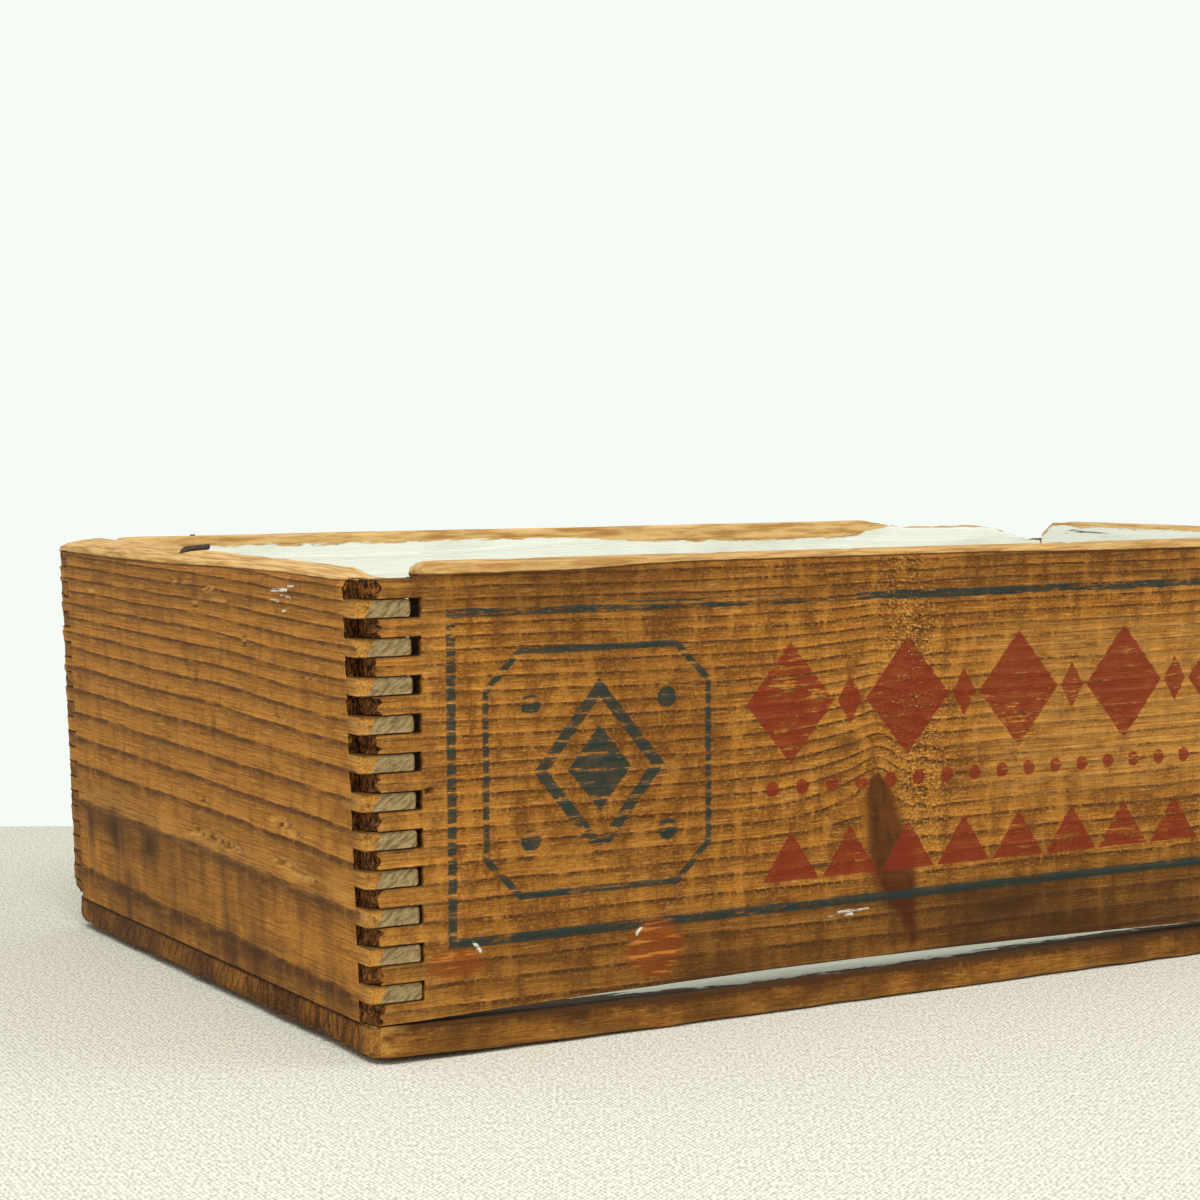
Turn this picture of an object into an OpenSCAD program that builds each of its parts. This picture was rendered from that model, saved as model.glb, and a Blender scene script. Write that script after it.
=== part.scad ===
// Open packing crate with comb-jointed corners, in millimetres.
// Origin at the middle of the underside, +Z up, printed front face towards -Y.

/* [Crate] */
// Outside length of the four walls
crate_l = 540; // [460:1:700]
// Outside depth of the four walls
crate_d = 298.5; // [240:0.5:420]
// Height of the front and back boards
side_h = 152.4; // [110:0.1:200]
// Thickness of the front and back boards
side_t = 9.5; // [8:0.1:16]
// Thickness of the two end boards
end_t = 19; // [15:0.1:26]
// How much lower the end boards stand than the front and back
end_drop = 3; // [0:0.1:5]

/* [Comb joint] */
// Height of one comb finger
finger_h = 6.35; // [6:0.05:12]
// Height of the lowest finger of the front and back boards
first_finger_h = 7.3; // [5:0.1:12]
// Clearance round each finger
finger_gap = 0.15; // [0.1:0.05:0.4]
// How far the left end has sprung outwards at its top
end_lean = 5; // [0:0.1:8]
// How far the back board's left fingers have followed it there
back_lean = 4.6; // [0:0.1:8]
// How much higher the left end stands at the back than at the front
end_rise = 3; // [0:0.1:5]

/* [Bottom] */
// Thickness of the bottom board
bottom_t = 11; // [8:0.1:18]
// How far the bottom stands out from the front and back
bottom_proud = 1.5; // [0:0.1:4]
// How far the bottom is set in under the ends
bottom_set_in = 0.5; // [0:0.1:4]
// Radius of the bottom's corners, seen from above
corner_r = 9; // [4:0.5:14]
// How far the sagged bottom's two ends turn up
sag_rise = 2.2; // [1:0.1:4]
// Length of each turned-up stretch
sag_run = 150; // [90:1:200]

/* [Wear] */
// Rise of the front board's hollow lower edge
hollow_rise = 2.6; // [1:0.1:5]
// Length of the hollow, from the inside of the left end
hollow_l = 330; // [200:1:380]
// Length over which the split in the back board's top edge comes down
split_l = 98; // [60:1:160]
// Length of the level stretch between the split's foot and the inside of the right end
split_foot_l = 18; // [5:1:40]
// Fingers of the back board lost with the split, counted from the top
split_fingers = 1; // [1:1:3]
// Length of the worn slope beside the left end's lost top finger
left_break_l = 16; // [10:0.5:30]
// Length of the broken slope at the right end's back corner
right_break_l = 8; // [4:0.5:20]
// Depth of the broken slope at the right end's back corner
right_break_drop = 6; // [3:0.1:8]

/* [Bottom nails] */
// Diameter of a bottom nail
nail_d = 2.2; // [1.6:0.1:3]
// Length of a bottom nail under its head
nail_l = 38; // [30:1:50]
// Diameter of a nail's head
head_d = 5; // [4:0.1:6]
// Thickness of a nail's head
head_t = 1; // [0.6:0.1:1.6]
// How far the heads are driven below the underside
head_sink = 0.3; // [0.1:0.1:0.8]
// Clearance round a nail in its hole
nail_gap = 0.1; // [0.05:0.05:0.2]
// Nails along the front, and as many along the back
side_nails = 2; // [2:1:7]
// Distance of the outer side nails from the inside of the ends
side_nail_inset = 11; // [6:1:40]
// Nails along each end
end_nails = 3; // [2:1:5]
// Distance of the outer end nails from the inside of the front and back
end_nail_inset = 22; // [6:1:50]

/* [Lid nails] */
// Diameter of the old lid nails
lid_nail_d = 2.6; // [2:0.1:3.4]
// Depth to which the bent nail stands in the left end
bent_nail_depth = 16; // [10:1:24]
// Distance of the bent nail from the front face
bent_nail_y = 174; // [80:1:200]
// Distance of the bent nail from the left end's outer face
bent_nail_x = 8; // [5:0.5:10]
// Length of the bent nail that lies on the edge
bent_nail_l = 9; // [5:0.5:12]
// Angle at which the lying length points up
bent_nail_tilt = 5; // [4:1:20]
// How far the bent nail is pressed down into the edge
bent_nail_press = 1; // [0:0.1:2]
// Depth to which a broken stub stands in the wood
stub_depth = 5; // [3:0.1:5.5]
// Height of a broken stub above the wood
stub_h = 0.5; // [0.3:0.1:3]
// Distance of the front stub from the left corner
front_stub_x = 17.5; // [6:0.5:17.5]
// Distance of the back stub from the left corner
back_stub_x = 54; // [30:1:120]

/* [Hidden] */

// Facets of a round piece, and of a long flat arc
$fn = 48;
arc_fn = 2400;
// Overlap that carries a cut clear of the face that it starts from
cut = 1;

side_pine = "#b07d3e";
end_pine = "#a8763a";
bottom_pine = "#8f6431";
rust = "#4a3f3a";

// Outer faces of the walls
left_x = -crate_l / 2;
right_x = crate_l / 2;
front_y = -crate_d / 2;
back_y = crate_d / 2;

// The sagged bottom: radius of its turned-up underside, and where that begins
bottom_l = crate_l - 2 * bottom_set_in;
bottom_d = crate_d + 2 * bottom_proud;
sag_r = (sag_run * sag_run + sag_rise * sag_rise) / (2 * sag_rise);
sag_x = bottom_l / 2 - sag_run;

// Rise of an arc of radius r at the distance dx from its lowest point
function arc_rise(r, dx) = r - sqrt(r * r - dx * dx);
// Height of the bottom's underside and of its upper face at x
function under_z(x) = arc_rise(sag_r, max(0, abs(x) - sag_x));
function floor_z(x) = bottom_t + arc_rise(sag_r - bottom_t, max(0, abs(x) - sag_x));

// The walls stand on the turned-up ends of the bottom
wall_z = floor_z(bottom_l / 2);
end_h = side_h - end_drop;
side_top = wall_z + side_h;
end_top = wall_z + end_h;

// The comb: slots in the front and back boards take the fingers of the ends
slots = ceil((side_h - first_finger_h) / (2 * finger_h));
function slot_z(k) = wall_z + first_finger_h + 2 * k * finger_h;
top_slot_z = slot_z(slots - 1);

// The left end leans about its lower outer edge, and its top edge rises towards the back
lean_angle = atan(end_lean / side_h);
function lean_at(z) = (z - wall_z) * tan(lean_angle);
function left_top(y) = end_top + end_rise * (y - front_y) / crate_d;

// Arc of the hollow under the front board
hollow_r = (hollow_l * hollow_l / 4 + hollow_rise * hollow_rise) / (2 * hollow_rise);

// The split in the back board's top edge: where it begins, and how far it comes down
split_z = slot_z(slots - split_fingers) - finger_h;
split_drop = side_top - split_z;
split_x = right_x - end_t - split_foot_l - split_l;
split_steps = 16;

// Places of n nails on a line of this length, evenly spread about its middle
function nail_row(n, length) = [for (i = [0:n - 1]) length * (i / (n - 1) - 1 / 2)];
side_nail_xs = nail_row(side_nails, crate_l - 2 * (end_t + side_nail_inset));
end_nail_ys = nail_row(end_nails, crate_d - 2 * (side_t + end_nail_inset));

// Bottom nails, each with its head a little below the face of the underside there
end_nail_x = crate_l / 2 - end_t / 2;
side_nail_y = crate_d / 2 - side_t / 2;
front_nails = [for (x = side_nail_xs) [x, -side_nail_y, under_z(x) + head_sink]];
back_nails = [for (x = side_nail_xs) [x, side_nail_y, under_z(x) + head_sink]];
left_nails = [for (y = end_nail_ys) [-end_nail_x, y, under_z(end_nail_x) + head_sink]];
right_nails = [for (y = end_nail_ys) [end_nail_x, y, under_z(end_nail_x) + head_sink]];

// Lid nails: where each comes out of the wood, and the bend of the bent one
bend_r = lid_nail_d;
bend_sink = bend_r - lid_nail_d / 2;
bent_nail_z = left_top(front_y + bent_nail_y) - bent_nail_press;
bent_nail = [left_x - lean_at(end_top) + bent_nail_x, front_y + bent_nail_y, bent_nail_z];
front_stub = [left_x + front_stub_x, -side_nail_y, top_slot_z];
back_stub = [left_x + back_stub_x, side_nail_y, side_top];

// Copies of a shape at each of a list of points
module at_each(points) {
    for (p = points) {
        translate(p) children();
    }
}

// One wire nail, head down, with the head's flat face at the origin
module wire_nail() {
    shank_r = nail_d / 2;
    point_l = nail_d;
    rotate_extrude() {
        polygon([
            [0, 0],
            [head_d / 2, 0],
            [head_d / 2, head_t],
            [shank_r, head_t],
            [shank_r, head_t + nail_l - point_l],
            [0, head_t + nail_l]
        ]);
    }
}

// The hole that a bottom nail fills, with the dent that its head has pressed
module nail_hole() {
    translate([0, 0, -cut]) cylinder(d = head_d + 2 * nail_gap, h = cut + head_t + nail_gap);
    cylinder(d = nail_d + 2 * nail_gap, h = head_t + nail_l + nail_gap);
}

// The hole of a lid nail that reaches down to this depth, with its mouth at the origin
module lid_nail_hole(depth) {
    translate([0, 0, -depth]) cylinder(d = lid_nail_d + 2 * nail_gap, h = depth + cut);
}

// Face of a side board, seen from the front, with comb slots at both ends
// and a left edge that slants outwards by this much
module side_face(slant) {
    slot_l = end_t + finger_gap + slant + cut;
    difference() {
        polygon([[left_x, wall_z], [right_x, wall_z], [right_x, side_top], [left_x - slant, side_top]]);
        for (k = [0:slots - 1]) {
            for (x = [left_x + end_t + finger_gap - slot_l, right_x - end_t - finger_gap]) {
                translate([x, slot_z(k)]) square([slot_l, finger_h]);
            }
        }
    }
}

// The shallow hollow under the front board
module hollow() {
    translate([left_x + end_t + hollow_l / 2, wall_z + hollow_rise - hollow_r])
        circle(r = hollow_r, $fn = arc_fn);
}

// The wood lost where the back board has split along the grain: the top edge rounds over,
// comes down in a hollow and runs level through the corner
module split_off() {
    far_x = split_l + split_foot_l + end_t + cut;
    curve = [
        for (i = [0:split_steps])
            let (t = i / split_steps)
                [split_l * t, -split_drop * (1 - cos(180 * t)) / 2]
    ];
    translate([split_x, side_top])
        polygon(concat(curve, [[far_x, -split_drop], [far_x, cut], [0, cut]]));
}

// A board of thickness t, from its face in the X and Z directions, with its front at y
module upright(y, t) {
    translate([0, y + t, 0]) rotate([90, 0, 0]) linear_extrude(t) children();
}

module front_board() {
    color(side_pine) difference() {
        upright(front_y, side_t) difference() {
            side_face(0);
            hollow();
        }
        at_each(front_nails) nail_hole();
        translate(front_stub) lid_nail_hole(stub_depth);
    }
}

module back_board() {
    color(side_pine) difference() {
        upright(back_y - side_t, side_t) difference() {
            side_face(back_lean);
            split_off();
        }
        at_each(back_nails) nail_hole();
        translate(back_stub) lid_nail_hole(stub_depth);
    }
}

// The notches of an end board with its outer face at x, which take the side boards' fingers
module end_notches(x) {
    reach = end_t + end_lean + cut;
    depth = side_t + finger_gap + cut;
    for (k = [0:slots]) {
        low = k == 0 ? wall_z - cut : slot_z(k - 1) + finger_h - finger_gap;
        high = slot_z(k) + finger_gap;
        for (y = [front_y - cut, back_y + cut - depth]) {
            translate([x - reach, y, low]) cube([2 * reach, depth, high - low]);
        }
    }
}

// The slope at the left end's front corner, where the top finger has broken off:
// it comes down from this rise above the corner's own top
module corner_break(slope_l, drop, rise) {
    width = end_t + 2 * end_lean + 2 * cut;
    root = side_t + finger_gap;
    start = -root - slope_l;
    translate([left_x + end_t + cut, front_y, end_top]) rotate([90, 0, -90]) linear_extrude(width) {
        polygon([[cut, cut], [cut, -drop], [-root, -drop], [start, rise], [start, rise + cut]]);
    }
}

// The groove that the bent nail has pressed into the top edge
module bend_groove() {
    groove_w = lid_nail_d + 2 * nail_gap;
    groove_l = groove_w / 2 + bend_r + bent_nail_l + end_t;
    translate([-groove_w / 2, -groove_w / 2, -bend_sink])
        cube([groove_l, groove_w, bend_sink + bent_nail_press + cut]);
}

// Height of the left end, seen from its side, with its front towards the left
module left_end_face() {
    polygon([[0, wall_z], [crate_d, wall_z], [crate_d, left_top(back_y)], [0, end_top]]);
}

module left_end() {
    break_rise = left_top(front_y + side_t + finger_gap + left_break_l) - end_top;
    color(end_pine) difference() {
        intersection() {
            translate([left_x, front_y, wall_z]) rotate([0, -lean_angle, 0]) translate([0, 0, -end_t])
                cube([end_t, crate_d, side_h + 2 * end_t]);
            translate([left_x - end_t, front_y, 0]) rotate([90, 0, 90]) linear_extrude(3 * end_t) left_end_face();
        }
        end_notches(left_x);
        corner_break(left_break_l, max(finger_gap, end_top - top_slot_z), break_rise);
        at_each(left_nails) nail_hole();
        translate(bent_nail) lid_nail_hole(bent_nail_depth);
        translate(bent_nail) bend_groove();
    }
}

module right_end() {
    color(end_pine) difference() {
        translate([right_x - end_t, front_y, wall_z]) cube([end_t, crate_d, end_h]);
        end_notches(right_x);
        rotate([0, 0, 180]) corner_break(right_break_l, right_break_drop, 0);
        at_each(right_nails) nail_hole();
    }
}

// The sagged bottom, seen from the front: flat in the middle, turned up on an arc at both ends
module sag_profile() {
    translate([-sag_x, 0]) square([2 * sag_x, bottom_t]);
    for (side = [0, 1]) {
        mirror([side, 0]) translate([sag_x, 0]) intersection() {
            translate([0, sag_r]) difference() {
                circle(r = sag_r, $fn = arc_fn);
                circle(r = sag_r - bottom_t, $fn = arc_fn);
            }
            square([sag_run, bottom_t + 2 * sag_rise]);
        }
    }
}

// Plan of the bottom, with round corners
module bottom_plan() {
    square([bottom_l - 2 * corner_r, bottom_d], center = true);
    square([bottom_l, bottom_d - 2 * corner_r], center = true);
    for (x = [-1, 1] * (bottom_l / 2 - corner_r)) {
        for (y = [-1, 1] * (bottom_d / 2 - corner_r)) {
            translate([x, y]) circle(r = corner_r);
        }
    }
}

module bottom_board() {
    color(bottom_pine) difference() {
        intersection() {
            upright(-bottom_d / 2, bottom_d) sag_profile();
            translate([0, 0, -cut]) linear_extrude(wall_z + 2 * cut) bottom_plan();
        }
        at_each(front_nails) nail_hole();
        at_each(back_nails) nail_hole();
        at_each(left_nails) nail_hole();
        at_each(right_nails) nail_hole();
    }
}

module bottom_nails_front() {
    color(rust) at_each(front_nails) wire_nail();
}

module bottom_nails_back() {
    color(rust) at_each(back_nails) wire_nail();
}

module bottom_nails_left() {
    color(rust) at_each(left_nails) wire_nail();
}

module bottom_nails_right() {
    color(rust) at_each(right_nails) wire_nail();
}

// The lid nail bent over towards the inside: shank, bend and lying length
module bent_lid_nail() {
    turn = 90 - bent_nail_tilt;
    shank_l = bent_nail_depth - bend_sink;
    color(rust) translate(bent_nail) translate([0, 0, -bend_sink]) {
        translate([0, 0, -shank_l]) cylinder(d = lid_nail_d, h = shank_l);
        translate([bend_r, 0, 0]) rotate([90, 0, 0]) rotate([0, 0, 180 - turn])
            rotate_extrude(angle = turn) translate([bend_r, 0]) circle(d = lid_nail_d);
        translate([bend_r, 0, 0]) rotate([0, -bent_nail_tilt, 0]) translate([0, 0, bend_r])
            rotate([0, 90, 0]) cylinder(d = lid_nail_d, h = bent_nail_l);
    }
}

module lid_nail_stubs() {
    color(rust) at_each([front_stub, back_stub]) translate([0, 0, -stub_depth])
        cylinder(d = lid_nail_d, h = stub_depth + stub_h);
}

front_board();
back_board();
left_end();
right_end();
bottom_board();
bottom_nails_front();
bottom_nails_back();
bottom_nails_left();
bottom_nails_right();
bent_lid_nail();
lid_nail_stubs();
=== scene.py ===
import math

import bpy
import numpy as np
from mathutils import Matrix, Vector

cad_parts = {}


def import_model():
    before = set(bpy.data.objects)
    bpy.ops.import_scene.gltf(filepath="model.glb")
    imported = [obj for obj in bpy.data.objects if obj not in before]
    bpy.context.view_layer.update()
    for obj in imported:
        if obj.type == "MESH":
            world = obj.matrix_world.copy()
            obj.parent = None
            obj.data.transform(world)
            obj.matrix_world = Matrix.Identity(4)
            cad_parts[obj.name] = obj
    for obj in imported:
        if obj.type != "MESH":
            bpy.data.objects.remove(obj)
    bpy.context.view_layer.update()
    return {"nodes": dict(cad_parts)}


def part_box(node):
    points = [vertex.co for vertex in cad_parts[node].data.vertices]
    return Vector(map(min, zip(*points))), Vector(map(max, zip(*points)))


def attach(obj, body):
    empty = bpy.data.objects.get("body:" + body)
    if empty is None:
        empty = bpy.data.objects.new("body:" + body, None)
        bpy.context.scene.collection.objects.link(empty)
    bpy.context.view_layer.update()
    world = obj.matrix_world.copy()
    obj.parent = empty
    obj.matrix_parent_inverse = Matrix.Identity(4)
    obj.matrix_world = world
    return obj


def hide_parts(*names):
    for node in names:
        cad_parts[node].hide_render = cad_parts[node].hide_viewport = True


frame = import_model()

# Sizes are in millimetres, in the part's own frame, and become metres where a mesh is made
MM = 0.001


def box_mm(node):
    return [np.array(corner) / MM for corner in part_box(node)]


FRONT_LOW, FRONT_HIGH = box_mm("front_board")
BACK_LOW, BACK_HIGH = box_mm("back_board")
LEFT_LOW, LEFT_HIGH = box_mm("left_end")
RIGHT_LOW, RIGHT_HIGH = box_mm("right_end")
BOTTOM_LOW, BOTTOM_HIGH = box_mm("bottom_board")
LEFT_X, FRONT_Y, WALL_Z = FRONT_LOW
RIGHT_X, BACK_Y, SIDE_TOP = FRONT_HIGH[0], BACK_HIGH[1], FRONT_HIGH[2]
END_TOP = RIGHT_HIGH[2]
SIDE_T = FRONT_HIGH[1] - FRONT_LOW[1]
END_T = RIGHT_HIGH[0] - RIGHT_LOW[0]
DEPTH = BACK_Y - FRONT_Y

# Comb joint
FINGER_H = 6.35
FIRST_FINGER_H = 7.3
FINGER_GAP = 0.15
SLOT_L = END_T + FINGER_GAP
NOTCH_L = SIDE_T + FINGER_GAP
SLOTS = math.ceil((SIDE_TOP - WALL_Z - FIRST_FINGER_H) / (2 * FINGER_H))
# Lower edges of the slots in the front and back boards
SLOT_FEET = [WALL_Z + FIRST_FINGER_H + 2 * FINGER_H * k for k in range(SLOTS)]
TOP_SLOT_Z = SLOT_FEET[-1]

# The left end leans out and rises to the back, and the back board's fingers lean out with it
LEAN = (LEFT_X - LEFT_LOW[0]) / (LEFT_HIGH[2] - WALL_Z)
BACK_LEAN = (LEFT_X - BACK_LOW[0]) / (SIDE_TOP - WALL_Z)
LEFT_RISE = LEFT_HIGH[2] - END_TOP
# How far its worn top edge falls to the outside
TOP_FALL = 1.1
# Where an end board's fingers begin to show their grey end grain, and the slope of that line
GREY_FROM, GREY_SLOPE = 3.4, 0.5

# Bottom board
BOTTOM_T = 11.0
CORNER_R = 9.0
SAG_RUN = 150.0
SAG_RISE = 2.2

# Wear that has a size of its own
HOLLOW_L, HOLLOW_RISE = 330.0, 2.6
# The back board's top edge is split off in a low step, and falls again at the right corner
SPLIT_STEP, SPLIT_STEP_H = (134.0, 170.0), 3.6
SPLIT_END = (210.0, 250.0)
SPLIT_Z = TOP_SLOT_Z - FINGER_H
# Heights above which the split back board and the broken ends are drawn down
SPLIT_FLOOR, BROKEN_FLOOR = SPLIT_Z - FINGER_H, SPLIT_Z - FINGER_GAP
RIGHT_BREAK_L, RIGHT_BREAK_DROP = 8.0, 6.0

# Distances of the first grid lines from an arris that is rounded over them
EDGE_LINES = (0.5, 1.3, 2.6)
# The same beside a comb's edges, which stay sharp
COMB_EDGE = 0.3

# Faces of the walls: axis, place and which way each looks
LEFT, LEFT_INSIDE = (0, LEFT_X, -1), (0, LEFT_X + END_T, 1)
RIGHT, RIGHT_INSIDE = (0, RIGHT_X, 1), (0, RIGHT_X - END_T, -1)
FRONT, FRONT_INSIDE = (1, FRONT_Y, -1), (1, FRONT_Y + SIDE_T, 1)
BACK, BACK_INSIDE = (1, BACK_Y, 1), (1, BACK_Y - SIDE_T, -1)
SIDE_RIM, END_RIM, SIDE_FOOT = (2, SIDE_TOP, 1), (2, END_TOP, 1), (2, WALL_Z, -1)
LEFT_NOTCH = (0, LEFT_X + SLOT_L, -1)


# Fields

def smooth(value, low, high):
    t = np.clip((value - low) / (high - low), 0, 1)
    return t * t * (3 - 2 * t)


def bell(distance, reach):
    """1 at no distance, falling off to either side over about this reach."""
    return np.exp(-(distance / reach) ** 2)


def hashed(cells, seed):
    """A repeatable number from 0 to 1 for each whole-numbered cell."""
    i, j, k = cells.T
    n = (i * 374761393 + j * 668265263 + k * 1274126177 + seed * 974711) & 0xFFFFFFFF
    n = ((n ^ (n >> 13)) * 1274126177) & 0xFFFFFFFF
    return ((n ^ (n >> 16)) & 0xFFFF) / 65535


def noise(seed, octaves, *places):
    """Smooth noise from about -1 to 1, with features one unit across."""
    points = np.stack(np.broadcast_arrays(*places), 1).astype(float)
    total, weight = np.zeros(len(points)), 1.0
    for octave in range(octaves):
        cell = np.floor(points).astype(np.int64)
        part = points - cell
        part = part * part * (3 - 2 * part)
        for corner in range(8):
            step = np.array([(corner >> axis) & 1 for axis in range(3)])
            share = np.where(step, part, 1 - part).prod(axis=1)
            total += weight * share * (2 * hashed(cell + step, seed + octave) - 1)
        points, weight = points * 2.03 + 17.3, weight * 0.5
    return total


def ring_count(height, spacings):
    """Growth rings passed up to a height, where spacings lists (height, width of a ring there)."""
    heights, widths = np.array(spacings, float).T
    fine = np.linspace(-20, 330, 3501)
    density = 1 / np.interp(fine, heights, widths)
    return np.interp(height, fine, np.cumsum(density) * (fine[1] - fine[0]))


def latewood(ring):
    """The dark, hard line that closes each growth ring."""
    t = ring - np.floor(ring)
    return smooth(t, 0.30, 0.88) * (1 - smooth(t, 0.92, 1.0))


def waved(u, v, w, seed):
    """Height across the grain, with the waver that the grain has along a board."""
    slow, quick = noise(seed, 2, u / 150, v / 55, 0.5), noise(seed + 9, 2, u / 26, v / 5, 0.5)
    return v + 0.33 * w + 2.0 * slow + 0.4 * quick


def raised_grain(u, v, w, ring, depth, seed, thick):
    """How far the soft wood between the growth rings has worn down, less so on the painted inside."""
    outside = 1 - 0.8 * smooth(w, thick - 2, thick - 0.5)
    return outside * (depth * (1 - latewood(ring)) + 0.10 * (1 + noise(seed, 2, u / 22, v / 1.5, w / 1.5)))


def swept(u, v, seed):
    """Slow sweep of the grain up and down a board that was cut less straight."""
    return 8 * noise(seed, 2, u / 210, v / 80, 0.5)


def gouges(u, v, marks, seed):
    """Depth of torn hollows, each given as its middle, half length, half height and depth."""
    depth = np.zeros(len(u))
    ragged = noise(seed, 2, u / 5, v / 1.6, 0.5)
    for mark_u, mark_v, half_l, half_h, deep in marks:
        away = ((u - mark_u) / half_l) ** 2 + ((v - mark_v) / half_h) ** 2
        depth = np.maximum(depth, deep * (1 - smooth(away * (1 + 0.5 * ragged), 0.35, 1.0)))
    return depth


# Boards as the skin of a grid

def spaced(start, stop, step):
    return np.linspace(start, stop, max(1, round(abs(stop - start) / step)) + 1)


def through(stops, step):
    """Grid lines through each of the stops, with about this step between them."""
    return np.unique(np.round(np.concatenate([spaced(a, b, step) for a, b in zip(stops, stops[1:])]), 6))


def with_edges(lines):
    """Grid lines with finer ones beside the first and the last."""
    low, high = lines[0], lines[-1]
    inner = [x for x in lines[1:-1] if low + 1.5 * EDGE_LINES[-1] < x < high - 1.5 * EDGE_LINES[-1]]
    near = [low + d for d in EDGE_LINES] + [high - d for d in EDGE_LINES]
    return np.unique([low, high, *near, *inner])


def comb_rows(edges, step):
    """Grid lines up a comb, with one close to either side of each edge."""
    stops = [edges[0]]
    for low, high in zip(edges, edges[1:]):
        stops += [low + COMB_EDGE, high - COMB_EDGE, high]
    return through(stops, step)


def comb_run(low, high, length, edge_step, step):
    """Grid lines along a board with a comb at both ends, close to the fingers' tips and roots."""
    near = through([0, 0.4, 1.2, 2.4, length - 0.4, length, length + 0.4, length + 2.4], edge_step)
    between = spaced(low + near[-1], high - near[-1], step)[1:-1]
    return np.concatenate([low + near, between, (high - near)[::-1]])


def skin(lines, filled):
    """Points, quads and each quad's axis, for the outside of the filled cells of a grid."""
    shape = [len(line) for line in lines]
    number = np.arange(np.prod(shape)).reshape(shape)
    quads, axes = [], []
    for axis in range(3):
        cells = np.moveaxis(filled, axis, 0)
        ids = np.moveaxis(number, axis, 0)
        empty = np.zeros((1,) + cells.shape[1:], bool)
        cells = np.concatenate([empty, cells, empty])
        for faces_up in (False, True):
            shown = cells[:-1] & ~cells[1:] if faces_up else cells[1:] & ~cells[:-1]
            i, a, b = np.nonzero(shown)
            quad = np.stack([ids[i, a, b], ids[i, a + 1, b], ids[i, a + 1, b + 1], ids[i, a, b + 1]], 1)
            quads.append(quad if faces_up != (axis == 1) else quad[:, ::-1])
            axes.append(np.full(len(quad), axis))
    quads, axes = np.concatenate(quads), np.concatenate(axes)
    used, quads = np.unique(quads, return_inverse=True)
    grid = np.stack(np.meshgrid(*lines, indexing="ij"), -1).reshape(-1, 3)
    return grid[used], quads.reshape(-1, 4), axes


def middles(lines):
    return np.meshgrid(*[(line[1:] + line[:-1]) / 2 for line in lines], indexing="ij")


def in_slot(z, gap=0.0):
    """Whether a height lies in a slot of the front and back boards, drawn in by a gap."""
    height = z - WALL_Z - FIRST_FINGER_H
    above = np.mod(height, 2 * FINGER_H)
    return (height > gap) & (above > gap) & (above < FINGER_H - gap)


class Board:
    """A board's points and quads while it is being worn into shape."""

    def __init__(self, lines, filled):
        self.points, self.quads, self.axes = skin(lines, filled)
        self.x, self.y, self.z = self.points.T
        self.flat = self.points.copy()

    def on(self, axis):
        """Which points touch a face that is square to this axis."""
        found = np.zeros(len(self.points), bool)
        found[self.quads[self.axes == axis]] = True
        return found

    def soften(self, rounds=2, strength=0.5):
        """Takes the sharpness off every arris."""
        ends = np.concatenate([self.quads[:, [i, (i + 1) % 4]] for i in range(4)])
        a, b = np.unique(np.sort(ends, axis=1), axis=0).T
        size = len(self.points)
        share = strength * (sum(self.on(axis).astype(int) for axis in range(3)) > 1)
        degree = np.bincount(a, minlength=size) + np.bincount(b, minlength=size)
        for _ in range(rounds):
            sums = [np.bincount(a, line[b], size) + np.bincount(b, line[a], size) for line in self.points.T]
            self.points += share[:, None] * (np.stack(sums, 1) / degree[:, None] - self.points)

    def round_arrises(self, *arrises):
        """Rounds each arris where two faces meet. A face is its axis, its place and which way it looks."""
        for first, second, radius in arrises:
            reach = []
            for axis, place, out in (first, second):
                reach.append(np.clip(radius - out * (place - self.points[:, axis]), 0, radius))
            long, wide = np.maximum(*reach), np.hypot(*reach)
            share = np.where(wide > 0, long / np.maximum(wide, 1e-9), 1.0)
            for (axis, _, out), part in zip((first, second), reach):
                self.points[:, axis] -= out * part * (1 - share)

    def shorten(self, face, reach, depth):
        """Wears an end back by a depth that varies over it, and draws in what lies behind."""
        axis, place, out = face
        behind = out * (place - self.points[:, axis])
        self.points[:, axis] -= out * depth * np.clip(1 - behind / reach, 0, 1)

    def nicks(self, size, amount, seed):
        """A number about 1 that wavers over the board, for uneven wear."""
        return 1 + amount * noise(seed, 2, *(self.flat.T / size))

    def normals(self):
        p = self.points[self.quads]
        faces = np.cross(p[:, 2] - p[:, 0], p[:, 3] - p[:, 1])
        corners, size = self.quads.ravel(), len(self.points)
        sums = np.stack([np.bincount(corners, np.repeat(part, 4), size) for part in faces.T], 1)
        return sums / np.maximum(np.linalg.norm(sums, axis=1), 1e-12)[:, None]

    def sink(self, depth):
        """Moves each point into the wood by its depth."""
        self.points -= self.normals() * np.maximum(depth, 0)[:, None]

    def make(self, node, slot, material, grain, **marks):
        """The finished mesh in place of a CAD node, with its material's fields, nought where not given."""
        mesh = bpy.data.meshes.new(node + "_worn")
        mesh.from_pydata((self.points * MM).tolist(), [], self.quads.tolist())
        mesh.polygons.foreach_set("use_smooth", np.ones(len(self.quads), bool))
        places = np.stack(grain, 1).ravel()
        mesh.attributes.new("grain", "FLOAT_VECTOR", "POINT").data.foreach_set("vector", places)
        for key in ("ring", "end", "torn", "dirt", "gloom", "wear", "rim", "paint", "knot", "raw", "curl"):
            values = np.clip(marks.get(key, 0) + np.zeros(len(self.points)), -99, 99)
            mesh.attributes.new(key, "FLOAT", "POINT").data.foreach_set("value", values)
        mesh.materials.append(material)
        stand_in(placed(mesh.name, mesh), node)


def placed(name, data):
    made = bpy.data.objects.new(name, data)
    bpy.context.scene.collection.objects.link(made)
    return made


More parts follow.
